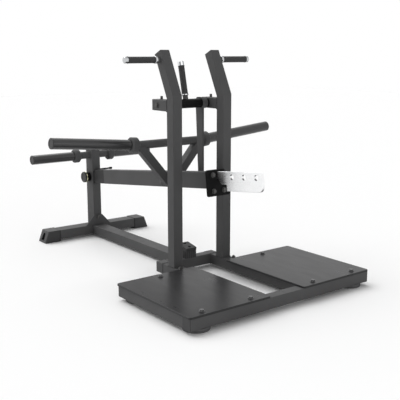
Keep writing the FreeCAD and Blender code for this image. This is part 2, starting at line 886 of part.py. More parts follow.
def make_pivot():
    """Bearing housings, seal rings and caps outside the post, and the cross pin above."""
    reach = "pivot_reach"
    height = "pivot_height"
    bore = "axle_radius + running_gap"
    outlines = {
        "pivot_housings": ring_outline("post_width / 2", "housing_end", bore, "housing_radius",
                                       "housing_edge"),
        "pivot_rings": ring_outline("housing_end", "ring_end", "axle_radius + fit_gap",
                                    "pivot_ring_radius", "pivot_ring_edge"),
        "pivot_caps": dished_outline("ring_end", "ring_end + pivot_cap", "pivot_cap_radius",
                                     "pivot_cap_edge", "pivot_cap_dish_radius", "pivot_cap_dish"),
    }
    for name, outline in outlines.items():
        pair = []
        for side in SIDES:
            turn = None if side == "right" else TO_LEFT
            pair.append(place(turned(f"{name}_{side}", outline), "0", reach, height, rotation=turn))
        on_frame(group(name, pair))
    x = "post_width / 2 - tube_wall"
    shank = disc("pin_shank", "pin_radius", "pin_length + tube_wall", x, "pin_y", "pin_z")
    knob = disc("pin_end", "pin_knob_radius", "pin_knob", "post_width / 2 + pin_length", "pin_y", "pin_z")
    pin = doc.addObject("Part::Fuse", "lever_stop_pin")
    pin.Label = "lever_stop_pin"
    pin.Base = shank
    pin.Tool = knob
    on_frame(pin)


# Uprights and what hangs on them


def make_upright(side):
    """Bent square tube that leans back above the shoulder."""
    low, high = between(side, "rail_inner", "rail_outer")
    centre = f"({low} + {high}) / 2"
    body = new_body(f"upright_{side}")
    sketch = draw(body, "YZ", [bent_outline("half_tube")], offset=centre)
    pad(body, sketch, "tube", both=True)
    edges = []
    for index, edge in enumerate(body.Tip.Shape.Edges, start=1):
        if edge.Length > sheet.get("tube") * (1 + ON_POINT):
            edges.append(f"Edge{index}")
    base = body.Tip
    feature = body.newObject("PartDesign::Fillet", body.Name + "_fillet")
    feature.Base = (base, edges)
    bind(feature, Radius="tube_corner")
    doc.recompute()
    cut = draw(body, "YZ", [bent_outline("(half_tube - tube_wall)")], offset=centre)
    pocket(body, cut, "tube - 2 * tube_wall", both=True)
    on_frame(body)


def bent_outline(half):
    """Side view of an upright, given half of its depth."""
    step = f"{half} * tan(lean / 2)"
    y = f"{half} * cos(lean)"
    z = f"{half} * sin(lean)"
    return [
        (f"-{half}", "deck_top"),
        (half, "deck_top"),
        (half, f"bend_height - {step}"),
        (f"axis_y + {y}", f"axis_z - {z}"),
        (f"axis_y - {y}", f"axis_z + {z}"),
        (f"-{half}", f"bend_height + {step}"),
    ]


def make_upright_caps():
    """Covers on the uprights' leaning ends and on the brackets' rear ends."""
    covers = []
    for side in SIDES:
        across = between(side, "rail_inner", "rail_outer")
        head = cover(f"head_cover_{side}", "Z", ("0", "tube", "0", "tube"), "0")
        covers.append(place(head, across[0], "axis_y - edge_y", "axis_z + edge_z", axis="X", turn="-lean"))
        section = across + ("bracket_low", "bracket_low + tube")
        covers.append(cover(f"bracket_cover_{side}", "Y", section, "bracket_rear"))
    on_frame(group("upright_caps", covers))


def make_brackets():
    """Short tubes behind the uprights that carry the catch's shaft."""
    for side in SIDES:
        across = between(side, "rail_inner", "rail_outer")
        section = across + ("bracket_low", "bracket_low + tube")
        body = tube_run(f"upper_bracket_{side}", "Y", "half_tube", "bracket_rear", section)
        hole = [("shaft_reach", "shaft_height", "bolt_radius + running_gap")]
        centre = f"({across[0]} + {across[1]}) / 2"
        cut = draw(body, "YZ", circles=hole, offset=centre)
        pocket(body, cut, "2 * tube", both=True)
        on_frame(body)


def make_frame_bolts():
    """Bolts of the catch's shaft and of the joint plate, and the brackets' round studs."""
    pieces = []
    for side, sign in SIDES.items():
        rotation = ALONG_X if side == "right" else ALONG_X.inverted()
        length = "rail_outer - shaft_half + half_tube"
        pieces.append(hex_bolt(f"shaft_bolt_{side}", f"{sign}rail_outer", "shaft_reach", "shaft_height",
                               rotation, length))
        dish = "stud_radius - 2 * stud_edge"
        outline = dished_outline("0", "stud_height", "stud_radius", "stud_edge", dish, "stud_edge")
        pieces.append(place(turned(f"stud_{side}", outline, "Z"), f"{sign}rail_spread", "shaft_reach",
                            "shaft_height + half_tube"))
    front = "post_front - gusset_thickness"
    pieces.append(hex_bolt("joint_bolt", "0", front, "gusset_bolt", ALONG_Y.inverted()))
    on_frame(group("frame_bolts", pieces))


def handle_core(name, stub, total):
    """Painted rod of a handle: a thick stub, and a thin core under ring, grip and end knob."""
    thick = disc(name + "_stub", "stub_radius", stub, "0", "0", "0")
    core = disc(name + "_core", "rod_radius", f"{total} - ({stub})", stub, "0", "0")
    fused = doc.addObject("Part::MultiFuse", name)
    fused.Shapes = [thick, core]
    return fused


def make_top_grips():
    """Handles that stand out sideways from the uprights' leaning heads."""
    rods = []
    brights = []
    ring_end = "stub_length + ring_length"
    ring = ring_outline("stub_length", ring_end, "rod_radius", "ring_radius", "ring_edge")
    for side in SIDES:
        turn = None if side == "right" else TO_LEFT
        root = {"x": "rail_outer" if side == "right" else "-rail_outer", "y": "grip_y", "z": "grip_z"}
        rod = handle_core(f"grip_rod_{side}", "stub_length", "knob_start + knob_socket")
        rods.append(place(rod, **root, rotation=turn))
        brights.append(place(turned(f"grip_ring_{side}", ring), **root, rotation=turn))
        knob = turned(f"grip_knob_{side}", knob_outline("knob_start", "knob_length"))
        brights.append(place(knob, **root, rotation=turn))
        grip = turned(f"grip_{side}", grip_outline(ring_end, "knob_start"))
        nodes.append(grip)
        root["y"] = "origin_shift + grip_y"
        place(grip, **root, rotation=turn)
    on_frame(group("grip_bars", rods))
    on_frame(group("grip_rings", brights))


def make_bump_stop():
    """Bracket on the cross tube with a rubber pad as steep as the lever at the end of its drop."""
    bracket = new_body("bump_stop_bracket")
    front = "(rail_rear - tube)"
    rear = "rail_rear"
    outline = [
        (front, "deck_top"),
        (rear, "deck_top"),
        (rear, f"pivot_height - (pivot_reach - {rear}) * tan(stop_slope) - stop_seat"),
        (front, f"pivot_height - (pivot_reach - {front}) * tan(stop_slope) - stop_seat"),
    ]
    sketch = draw(bracket, "YZ", [outline])
    pad(bracket, sketch, "2 * stop_half", both=True)
    inner = rectangle("-stop_half + tube_wall", "stop_half - tube_wall", f"{front} + tube_wall",
                      f"{rear} - tube_wall")
    cut = draw(bracket, "XY", [inner])
    pocket(bracket, cut, back=True)
    on_frame(bracket)
    pad_body = new_body("bump_stop_pad")
    outline = rectangle("-stop_end", "-stop_start", "-stop_level - stop_pad", "-stop_level")
    sketch = draw(pad_body, "YZ", [outline])
    pad(pad_body, sketch, "2 * stop_half", both=True)
    soften(pad_body, sketch, (2, 3), "stop_pad_edge")
    middle = "-(stop_start + stop_end) / 2"
    wells = [("0", f"{middle} {step} stop_screw_along", "stop_screw_radius") for step in ("-", "+")]
    cut = draw(pad_body, "XY", circles=wells, offset="-stop_level")
    pocket(pad_body, cut, "stop_screw_deep")
    nodes.append(pad_body)
    place(pad_body, y="origin_shift + pivot_reach", z="pivot_height", axis="X", turn="stop_slope")


# Lever


def make_arm():
    """Rectangular tube of the lever, open at its rear end for the yoke."""
    section = ("-arm_width / 2", "arm_width / 2", "-arm_height / 2", "arm_height / 2")
    arm = tube_run("lever_arm", "Y", "-arm_end", "-arm_start", section, "arm_wall")
    on_lever(arm)


def make_yoke():
    """Black root of the lever: a part disc that fills the post's slot, and a hub on the axle."""
    body = new_body("pivot_yoke")
    disc_plan = draw(body, "YZ", circles=[("0", "0", "yoke_disc_radius")])
    pad(body, disc_plan, "yoke_width", both=True)
    reach = "(yoke_disc_radius + overrun)"
    rear = draw(body, "YZ", [rectangle("0", reach, f"-{reach}", reach)])
    pocket(body, rear, "2 * yoke_width", both=True)
    hub = draw(body, "YZ", circles=[("0", "0", "hub_radius")])
    pad(body, hub, "yoke_width", both=True)
    # Its rear ends are as near to the post's face as the lever's two end positions let them be.
    half = "arm_height / 2"
    outline = [
        ("-arm_start", f"-{half}"),
        ("-arm_start", half),
        (f"-(yoke_front + {half} * sin(rise)) / cos(rise)", half),
        ("-yoke_front * cos(rise) - yoke_neck * sin(rise)",
         "yoke_neck * cos(rise) - yoke_front * sin(rise)"),
        ("-yoke_front * cos(stop_slope) - yoke_neck * sin(stop_slope)",
         "yoke_front * sin(stop_slope) - yoke_neck * cos(stop_slope)"),
        (f"-(yoke_front + {half} * sin(stop_slope)) / cos(stop_slope)", f"-{half}"),
    ]
    sketch = draw(body, "YZ", [outline])
    pad(body, sketch, "yoke_width", both=True)
    bore = draw(body, "YZ", circles=[("0", "0", "axle_radius")], offset="-yoke_width")
    pocket(body, bore, back=True)
    on_lever(body)
    axle = disc("axle_solid", "axle_radius", "2 * (housing_end - side_play)",
                "-(housing_end - side_play)", "0", "0")
    on_lever(group("pivot_axle", [axle]))


def make_flange():
    """Plate across the arm's front end, clipped at one corner, with its four bolts."""
    body = new_body("flange_plate")
    top = "flange_height / 2 - flange_drop"
    bottom = "-flange_height / 2 - flange_drop"
    outline = [
        ("-flange_half", bottom),
        ("flange_half", bottom),
        ("flange_half", f"{top} - flange_clip"),
        ("flange_half - flange_clip", top),
        ("-flange_half", top),
    ]
    sketch = draw(body, "XZ", [outline], offset="arm_end")
    pad(body, sketch, "flange_thickness")
    soften(body, sketch, (0, 1, 4), "flange_corner")
    bevel(body, rim(body, "Y", high=False), "flange_edge")
    on_lever(body)
    bolts = []
    face = "-arm_end - flange_thickness"
    for across in ("-flange_bolt_across / 2", "flange_bolt_across / 2"):
        for up in ("-flange_bolt_up / 2", "flange_bolt_up / 2"):
            name = f"flange_bolt_{len(bolts)}"
            level = f"{up} - flange_drop"
            bolts.append(hex_bolt(name, across, face, level, ALONG_Y.inverted()))
    rotation = ALONG_X.inverted()
    bolts.append(hex_bolt("strut_bolt", "-arm_width / 2", "-foot_bolt_along", "-foot_bolt_drop", rotation))
    on_lever(group("flange_bolts", bolts))


def make_hook_plate():
    """Steel plate with three holes for the belt's hook, notched behind around the bolts."""
    body = new_body("hook_plate")
    outline = [
        ("-hook_start", "hook_top"),
        ("-hook_start", "notch_seat"),
        ("-hook_start - notch_start", "-notch_height"),
        ("-hook_start - notch_end", "-notch_height"),
        ("-hook_start - notch_end", "-hook_bottom"),
        ("-hook_end", "-hook_bottom"),
        ("-hook_end", "hook_top"),
    ]
    sketch = draw(body, "YZ", [outline])
    pad(body, sketch, "hook_thickness", both=True)
    soften(body, sketch, (5,), "hook_nose_low")
    soften(body, sketch, (6,), "hook_nose_high")
    bevel(body, rim(body, "X") + rim(body, "X", high=False), "hook_edge")
    holes = [("-hook_start - hook_first", "hook_hole_up", "hook_hole_radius")]
    cut = draw(body, "YZ", circles=holes, offset="-hook_thickness")
    pocket(body, cut, back=True)
    repeat = body.newObject("PartDesign::LinearPattern", "hook_plate_holes")
    repeat.Originals = [body.Tip] if body.Tip.TypeId == "PartDesign::Pocket" else []
    direction = [item for item in body.Origin.OriginFeatures if item.Role == "Y_Axis"]
    repeat.Direction = (direction[0], [""])
    repeat.Reversed = True
    repeat.Occurrences = 3
    bind(repeat, Length="2 * hook_pitch")
    body.Tip = repeat
    doc.recompute()
    on_lever(body)


def make_load_bar():
    """Bent cross tube of the weight horns, on two struts from the arm."""
    body = new_body("load_tube")
    tip_x = "load_bend + load_end * cos(load_tilt)"
    tip_z = "load_height + load_end * sin(load_tilt)"
    path = body.newObject("Sketcher::SketchObject", "load_path")
    planes = {item.Role: item for item in body.Origin.OriginFeatures}
    path.AttachmentSupport = (planes["XZ_Plane"], [""])
    path.MapMode = "FlatFace"
    path.setExpression("AttachmentOffset.Base.z", cells("-load_reach"))
    stops = [(f"-({tip_x})", tip_z), ("-load_bend", "load_height"), ("load_bend", "load_height"),
             (tip_x, tip_z)]
    starts = [FreeCAD.Vector(index, 0, 0) for index in range(len(stops))]
    for index in range(len(stops) - 1):
        path.addGeometry(Part.LineSegment(starts[index], starts[index + 1]), False)
    for index in range(len(stops) - 2):
        path.addConstraint(Sketcher.Constraint("Coincident", index, 2, index + 1, 1))
    for index, (x, z) in enumerate(stops[:-1]):
        spot(path, index, 1, x, z, starts[index])
    spot(path, len(stops) - 2, 2, *stops[-1], starts[-1])
    doc.recompute()
    section = body.newObject("Sketcher::SketchObject", "load_section")
    section.AttachmentSupport = (path, ["Edge1"])
    section.MapMode = "NormalToEdge"
    fill(section, circles=[("0", "0", "bar_radius"), ("0", "0", "bar_radius - bar_wall")])
    doc.recompute()
    pipe = body.newObject("PartDesign::AdditivePipe", "load_pipe")
    pipe.Profile = section
    pipe.Spine = (path, ["Edge1", "Edge2", "Edge3"])
    pipe.Transition = "Right corner"
    doc.recompute()
    on_frame(body)


def make_load_horns():
    """Collars, sleeves and end caps on the tilted ends of the load tube."""
    collars = []
    covers = []
    ring = ring_outline("load_skip", "load_horn_start", "bar_radius", "collar_radius", "collar_edge")
    for side, sign in SIDES.items():
        turn = "-load_tilt" if side == "right" else "load_tilt"
        way = None if side == "right" else TO_LEFT
        root = {"x": f"{sign}load_bend", "y": "load_reach", "z": "load_height"}
        collar = place(turned(f"load_collar_{side}", ring), rotation=way)
        collars.append(place(group(f"load_collar_set_{side}", [collar]), **root, axis="Y", turn=turn))
        lid = place(horn_lid(f"load_cover_{side}", "load_end"), rotation=way)
        covers.append(place(group(f"load_cover_set_{side}", [lid]), **root, axis="Y", turn=turn))
        sleeve = new_body(f"load_sleeve_{side}")
        start = between(side, "load_horn_start", "load_end")[0]
        circles = [("0", "0", "horn_radius"), ("0", "0", "bar_radius")]
        sketch = draw(sleeve, "YZ", circles=circles, offset=start)
        pad(sleeve, sketch, "load_horn")
        nodes.append(sleeve)
        root["y"] = "origin_shift + load_reach"
        place(sleeve, **root, axis="Y", turn=turn)
    on_frame(group("load_collars", collars))
    on_frame(group("load_end_caps", covers))


def make_strut(side):
    """Square tube from the arm's side to the load tube, coped round it and trimmed at the collar."""
    sign = SIDES[side]
    body = new_body(f"strut_{side}")
    outline = [
        ("arm_width / 2", "foot_level - foot_half"),
        ("strut_side", "strut_corner"),
        ("strut_side", "strut_top"),
        ("strut_inner", "strut_top"),
        ("arm_width / 2", "foot_level + foot_half"),
    ]
    outline = [(f"{sign}({x})", z) for x, z in outline]
    sketch = draw(body, "XZ", [outline], offset="-load_reach")
    pad(body, sketch, "strut", both=True)
    # Its bore stays closed on the collar's side, where the end would be seen.
    bore = [
        ("arm_width / 2", "foot_level - bore_half"),
        ("bore_side", "bore_corner"),
        ("bore_side", "strut_top"),
        ("bore_inner", "strut_top"),
        ("arm_width / 2", "foot_level + bore_half"),
    ]
    cut = draw(body, "XZ", [[(f"{sign}({x})", z) for x, z in bore]], offset="-load_reach")
    pocket(body, cut, "strut - 2 * tube_wall", both=True)
    cut = draw(body, "YZ", circles=[("load_reach", "load_height", "bar_radius")])
    pocket(body, cut, back=side == "right")
    on_frame(body)


def make_peg():
    """Round peg on the arm's side that the catch holds."""
    peg = disc("peg_solid", "peg_radius", "peg_out - arm_width / 2", "arm_width / 2", "-peg_along", "0")
    on_lever(group("catch_peg", [peg]))


# Catch


def make_catch():
    """Swinging plate with its shaft, hub, nose and hand lever."""
    shaft = disc("shaft_bar", "shaft_radius", "2 * shaft_half", "-shaft_half", "0", "0")
    bush = disc("shaft_bush", "bush_radius", "bush_length", "hub_end", "0", "0")
    solid = doc.addObject("Part::MultiFuse", "shaft_solid")
    solid.Shapes = [shaft, bush]
    bores = []
    for side in SIDES:
        deep = "half_tube + running_gap"
        x = between(side, f"shaft_half - ({deep})", "shaft_half")[0]
        bores.append(disc(f"shaft_bore_{side}", "bolt_radius + running_gap", deep, x, "0", "0"))
    both = doc.addObject("Part::MultiFuse", "shaft_bores")
    both.Shapes = bores
    cut = doc.addObject("Part::Cut", "catch_shaft")
    cut.Label = "catch_shaft"
    cut.Base = solid
    cut.Tool = both
    on_catch(cut)
    make_catch_plate()
    make_hand_lever()


def make_catch_plate():
    """Flat plate that hangs from the shaft, with a nose that reaches in behind the lever's peg."""
    body = new_body("catch_plate")
    outline = [
        ("-catch_front", "-catch_below"),
        ("catch_foot_rear", "-catch_below"),
        ("catch_rear", "-catch_shoulder"),
        ("catch_rear", "catch_above"),
        ("-catch_front", "catch_above"),
    ]
    sketch = draw(body, "YZ", [outline], offset="catch_in")
    pad(body, sketch, "catch_thickness")
    soften(body, sketch, (3, 4), "catch_round")
    soften(body, sketch, (0, 1), "catch_foot_round")
    nose = rectangle("-nose_front", "nose_rear", "-nose_top - nose_height", "-nose_top")
    sketch = draw(body, "YZ", [nose], offset="nose_in")
    pad(body, sketch, "catch_in - nose_in")
    soften(body, sketch, (2, 3), "nose_edge")
    hub = draw(body, "YZ", circles=[("0", "0", "hub_ring_radius")], offset="catch_in")
    pad(body, hub, "hub_end - catch_in")
    bore = draw(body, "YZ", circles=[("0", "0", "shaft_radius")])
    pocket(body, bore, back=True)
    on_catch(body)


def make_hand_lever():
    """Upright handle on the shaft that swings the catch away from the peg."""
    upward = FreeCAD.Rotation(AXES["Y"], -90)
    core = handle_core("handle_core", "handle_stub", "handle_knob_start + knob_socket")
    place(core, rotation=upward)
    saddle = disc("handle_saddle", "shaft_radius", "2 * stub_radius", "-stub_radius", "0", "0")
    cut = doc.addObject("Part::Cut", "handle_rod")
    cut.Label = "handle_rod"
    cut.Base = core
    cut.Tool = saddle
    on_catch(cut, "-handle_angle", "-handle_side")
    ring_end = "handle_stub + handle_ring"
    ring = ring_outline("handle_stub", ring_end, "rod_radius", "ring_radius", "ring_edge")
    brights = [
        turned("handle_ring_solid", ring, "Z"),
        turned("handle_knob_solid", knob_outline("handle_knob_start", "handle_knob"), "Z"),
    ]
    on_catch(group("handle_rings", brights), "-handle_angle", "-handle_side")
    grip = turned("handle_grip", grip_outline(ring_end, "handle_knob_start"), "Z")
    on_catch(grip, "-handle_angle", "-handle_side")


make_platform()
make_frame_caps()
make_foot_plates()
make_feet()
make_beam()
make_post()
make_gusset()
make_storage()
make_pivot()
make_brackets()
make_upright_caps()
make_frame_bolts()
make_top_grips()
make_bump_stop()
make_arm()
make_yoke()
make_flange()
make_hook_plate()
make_load_bar()
make_load_horns()
make_peg()
make_catch()
for side in SIDES:
    make_stabilizer_cap(side)
    make_upright(side)
    make_strut(side)
doc.recompute()

# Every object has to be sound before anything is written
for item in doc.Objects:
    if {"Invalid", "Error"} & set(item.State):
        raise ValueError(f"{item.Name} failed: {item.State}")
for node in nodes:
    if node.Shape.isNull() or not node.Shape.isValid():
        raise ValueError(f"{node.Label} has no valid shape")

os.makedirs("parts", exist_ok=True)
for node in nodes:
    node.Shape.exportStep(os.path.join("parts", node.Label + ".step"))
print(len(nodes), "sub-parts written")
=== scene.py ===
import json
import math
import bmesh
import bpy
from mathutils import Matrix, Vector


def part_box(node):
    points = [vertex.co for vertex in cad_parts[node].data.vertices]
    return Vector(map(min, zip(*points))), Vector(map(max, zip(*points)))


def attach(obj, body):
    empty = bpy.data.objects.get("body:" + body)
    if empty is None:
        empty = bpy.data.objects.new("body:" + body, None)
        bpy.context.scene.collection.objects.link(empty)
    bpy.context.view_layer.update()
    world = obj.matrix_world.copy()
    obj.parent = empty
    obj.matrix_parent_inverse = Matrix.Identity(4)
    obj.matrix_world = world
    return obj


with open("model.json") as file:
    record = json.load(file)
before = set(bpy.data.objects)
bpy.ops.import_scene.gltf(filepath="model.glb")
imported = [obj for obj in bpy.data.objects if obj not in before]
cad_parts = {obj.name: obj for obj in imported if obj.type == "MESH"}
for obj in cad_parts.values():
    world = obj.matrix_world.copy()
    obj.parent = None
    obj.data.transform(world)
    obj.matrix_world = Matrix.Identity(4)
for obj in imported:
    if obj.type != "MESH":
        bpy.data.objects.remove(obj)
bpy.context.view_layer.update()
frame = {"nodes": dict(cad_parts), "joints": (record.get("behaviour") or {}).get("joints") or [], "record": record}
scene = bpy.context.scene
scene.view_settings.view_transform = "Standard"

# Viewpoint of the photograph in the part's frame: metres, degrees, and the lens in millimetres.
CAMERA_PLACE = (-2.02044, -2.84871, 1.03703)
CAMERA_HEADING = 37.5943
CAMERA_DIP = 11.5297
CAMERA_LENS = 65.09

# Colours of the finishes, in linear red, green and blue.
GRAPHITE = (0.086, 0.086, 0.087)
DECK_GREY = (0.029, 0.029, 0.030)
BOLT_GREY = (0.130, 0.130, 0.132)
SLEEVE_GREY = (0.031, 0.031, 0.032)
SATIN_BLACK = (0.003, 0.003, 0.0031)
# The yoke's own dark paint, with painted shade from the post worked into its tone.
YOKE_BLACK_AND_SHADE = (0.048, 0.048, 0.049)
# Painted shadow in the seam at the stabiliser caps' mouths.
SEAM_SHADOW_BLACK = (0.004, 0.004, 0.004)
RUBBER_BLACK = (0.035, 0.035, 0.036)
CAP_BLACK = (0.036, 0.036, 0.037)
CHROME = (0.56, 0.57, 0.58)
BRUSHED_STEEL = (0.92, 0.925, 0.93)
# Painted shade on the walls of the hook's holes.
HOLE_SHADE_GREY = (0.10, 0.10, 0.10)
BLACKED_STEEL = (0.050, 0.049, 0.048)
PALE_BRASS = (0.80, 0.78, 0.50)
FOOT_GREY = (0.100, 0.100, 0.102)

# Bands of a pattern, its stretch, and how fine it is.
WHOLE = (0.0, 1.0)
FALLING = (1.0, 0.0)
MIDDLE = (0.3, 0.7)
EVEN = (1, 1, 1)
PLAIN = 2.0
FINE = 3.0
FINER = 4.0
FINEST = 6.0


def new_finish(name):
    """A new material, its node tree and its shader."""
    finish = bpy.data.materials.new(name)
    finish.use_nodes = True
    tree = finish.node_tree
    return finish, tree, tree.nodes["Principled BSDF"]


def own_place(tree, stretch=EVEN):
    """The surface's own place on the part, in metres, stretched along an axis that has a share under one."""
    place = tree.nodes.new("ShaderNodeTexCoord")
    turn = tree.nodes.new("ShaderNodeMapping")
    turn.inputs["Scale"].default_value = stretch
    tree.links.new(place.outputs["Object"], turn.inputs["Vector"])
    return turn.outputs["Vector"]


def speckle(tree, size, stretch=EVEN, detail=PLAIN):
    """A noise whose grains are about size metres across."""
    noise = tree.nodes.new("ShaderNodeTexNoise")
    noise.inputs["Scale"].default_value = 1 / size
    noise.inputs["Detail"].default_value = detail
    tree.links.new(own_place(tree, stretch), noise.inputs["Vector"])
    return noise.outputs["Fac"]


def spread(tree, pattern, onto, band=WHOLE):
    """Spreads a band of a pattern from the first to the last of two values."""
    spreader = tree.nodes.new("ShaderNodeMapRange")
    spreader.inputs["From Min"].default_value = band[0]
    spreader.inputs["From Max"].default_value = band[1]
    spreader.inputs["To Min"].default_value = onto[0]
    spreader.inputs["To Max"].default_value = onto[1]
    tree.links.new(pattern, spreader.inputs["Value"])
    return spreader.outputs["Result"]


def worked_out(tree, operation, *patterns, clamp=False):
    """One or two patterns put through a maths node."""
    maths = tree.nodes.new("ShaderNodeMath")
    maths.operation = operation
    maths.use_clamp = clamp
    for pattern, socket in zip(patterns, maths.inputs):
        tree.links.new(pattern, socket)
    return maths.outputs["Value"]


def steepness(tree):
    """One where the surface looks straight up or down, and zero where it looks sideways."""
    around = tree.nodes.new("ShaderNodeTexCoord")
    parts = tree.nodes.new("ShaderNodeSeparateXYZ")
    tree.links.new(around.outputs["Normal"], parts.inputs["Vector"])
    return worked_out(tree, "ABSOLUTE", parts.outputs["Z"])


def shade(colour, share):
    """A colour made darker or lighter."""
    return tuple(share * part for part in colour)


def tint(tree, shader, pattern, colour, shares):
    """Colours the surface between a darker and a lighter tone of one colour."""
    mix = tree.nodes.new("ShaderNodeMix")
    mix.data_type = "RGBA"
    mix.inputs["A"].default_value = (*shade(colour, shares[0]), 1)
    mix.inputs["B"].default_value = (*shade(colour, shares[1]), 1)
    tree.links.new(pattern, mix.inputs["Factor"])
    tree.links.new(mix.outputs["Result"], shader.inputs["Base Color"])


def overlay(tree, shader, pattern, colour):
    """Lays a second colour over the surface's own where a pattern is strong."""
    under = shader.inputs["Base Color"].links[0].from_socket
    mix = tree.nodes.new("ShaderNodeMix")
    mix.data_type = "RGBA"
    mix.inputs["B"].default_value = (*colour, 1)
    tree.links.new(under, mix.inputs["A"])
    tree.links.new(pattern, mix.inputs["Factor"])
    tree.links.new(mix.outputs["Result"], shader.inputs["Base Color"])


def relief(tree, shader, pattern, height):
    """Raises the surface by a pattern, as high as it says in metres."""
    bump = tree.nodes.new("ShaderNodeBump")
    bump.inputs["Distance"].default_value = height
    tree.links.new(pattern, bump.inputs["Height"])
    tree.links.new(bump.outputs["Normal"], shader.inputs["Normal"])


# Powder coat: orange peel about a millimetre across, under slow clouds of tone and gloss.
COAT_CLOUD = 0.19
COAT_TONE_SHARES = (0.93, 1.08)
COAT_HAZE = 0.035
COAT_HAZE_BAND = (0.25, 0.75)
COAT_SMOOTHER = 0.05
COAT_ROUGHER = 0.07
PEEL = 0.0012
PEEL_DEPTH = 0.00002


def powder_coat(name, colour, roughness, shine):
    """Baked powder paint with orange peel, cloudy tone and hazy gloss."""
    finish, tree, paint = new_finish(name)
    paint.inputs["Specular IOR Level"].default_value = shine
    clouds = spread(tree, speckle(tree, COAT_CLOUD), WHOLE, MIDDLE)
    tint(tree, paint, clouds, colour, COAT_TONE_SHARES)
    haze = speckle(tree, COAT_HAZE, detail=FINER)
    span = (roughness - COAT_SMOOTHER, roughness + COAT_ROUGHER)
    tree.links.new(spread(tree, haze, span, COAT_HAZE_BAND), paint.inputs["Roughness"])
    relief(tree, paint, speckle(tree, PEEL), PEEL_DEPTH)
    return finish


# Coat of the standing plates: fine sand for grip, and scuffs that run from the front to the rear.
DECK_SHINE = 0.16
DECK_CLOUD = 0.24
DECK_TONE_SHARES = (0.95, 1.06)
SCUFF = 0.03
SCUFF_STRETCH = (1, 0.2, 1)
SCUFF_BAND = (0.62, 0.75)
SCUFF_COVER = (0.0, 0.5)
SCUFF_SHARE = 1.35
DECK_ROUGHNESS = (0.27, 0.34)
SAND = 0.0007
SAND_DEPTH = 0.00003


def deck_coat(name, colour):
    """Paint of the standing plates, with sand in it and faint scuffs from shoes."""
    finish, tree, paint = new_finish(name)
    paint.inputs["Specular IOR Level"].default_value = DECK_SHINE
    clouds = spread(tree, speckle(tree, DECK_CLOUD), WHOLE, MIDDLE)
    tint(tree, paint, clouds, colour, DECK_TONE_SHARES)
    scuffs = speckle(tree, SCUFF, stretch=SCUFF_STRETCH, detail=FINEST)
    overlay(tree, paint, spread(tree, scuffs, SCUFF_COVER, SCUFF_BAND), shade(colour, SCUFF_SHARE))
    tree.links.new(spread(tree, scuffs, DECK_ROUGHNESS, MIDDLE), paint.inputs["Roughness"])
    relief(tree, paint, speckle(tree, SAND), SAND_DEPTH)
    return finish


# Paint of the disc sleeves: rings and patches where discs have rubbed.
SLEEVE_SHINE = 0.5
RING = 0.006
RING_STRETCH = (1, 0.04, 0.04)
RING_DETAIL = 5.0
RING_BAND = (0.45, 0.75)
RUB = 0.05
RUB_BAND = (0.4, 0.7)
RUB_SHARES = (1.0, 1.1)
SLEEVE_ROUGHNESS = (0.26, 0.22)
SLEEVE_PEEL_DEPTH = 0.000006


def sleeve_coat(name, colour):
    """Smooth paint of the disc sleeves, rubbed very faintly in rings where discs slide on."""
    finish, tree, paint = new_finish(name)
    paint.inputs["Specular IOR Level"].default_value = SLEEVE_SHINE
    rings = speckle(tree, RING, stretch=RING_STRETCH, detail=RING_DETAIL)
    patches = speckle(tree, RUB, detail=FINE)
    worn_rings = spread(tree, rings, WHOLE, RING_BAND)
    worn_patches = spread(tree, patches, WHOLE, RUB_BAND)
    rubbed = worked_out(tree, "MULTIPLY", worn_rings, worn_patches)
    tint(tree, paint, rubbed, colour, RUB_SHARES)
    tree.links.new(spread(tree, patches, SLEEVE_ROUGHNESS, MIDDLE), paint.inputs["Roughness"])
    relief(tree, paint, speckle(tree, PEEL), SLEEVE_PEEL_DEPTH)
    return finish


# Plating of the grips' and the pivot's rings: a painted reflection that darkens it above and below, with finger
# haze and turning lines.
FINGER = 0.012
# Band of steepness and tone shares of the painted reflection.
REFLECTION_SHADE_BAND = (0.35, 0.85)
REFLECTION_SHADE_SHARES = (0.5, 1.0)
PLATING_ROUGHNESS = (0.07, 0.17)
TURNING = 0.0008
TURNING_STRETCH = (1, 1, 0.2)
TURNING_DEPTH = 0.000004


def polished_plating(name, colour):
    """Bright plating with a painted reflection, darker where it looks up or down, and faint finger haze and
    turning lines.
    """
    finish, tree, metal = new_finish(name)
    metal.inputs["Metallic"].default_value = 1.0
    # Painted reflection: the plating's colour is halved where the surface looks up or down.
    painted_reflection = spread(tree, steepness(tree), FALLING, REFLECTION_SHADE_BAND)
    tint(tree, metal, painted_reflection, colour, REFLECTION_SHADE_SHARES)
    haze = speckle(tree, FINGER, detail=FINER)
    tree.links.new(spread(tree, haze, PLATING_ROUGHNESS, MIDDLE), metal.inputs["Roughness"])
    relief(tree, metal, speckle(tree, TURNING, stretch=TURNING_STRETCH), TURNING_DEPTH)
    return finish


# Brushed plate of the hook, and the painted shade on the walls of its holes.
BRUSHING = 0.0009
BRUSHING_STRETCH = (1, 0.03, 1)
BRUSHING_DEPTH = 0.000012
BLOOM = 0.05
BLOOM_SHARES = (0.9, 1.0)
BRUSHED_ROUGHNESS = (0.24, 0.38)
HOLE_RIM = 0.0008
HOLE_WALL_BAND = (0.2, 0.7)
MM = 0.001


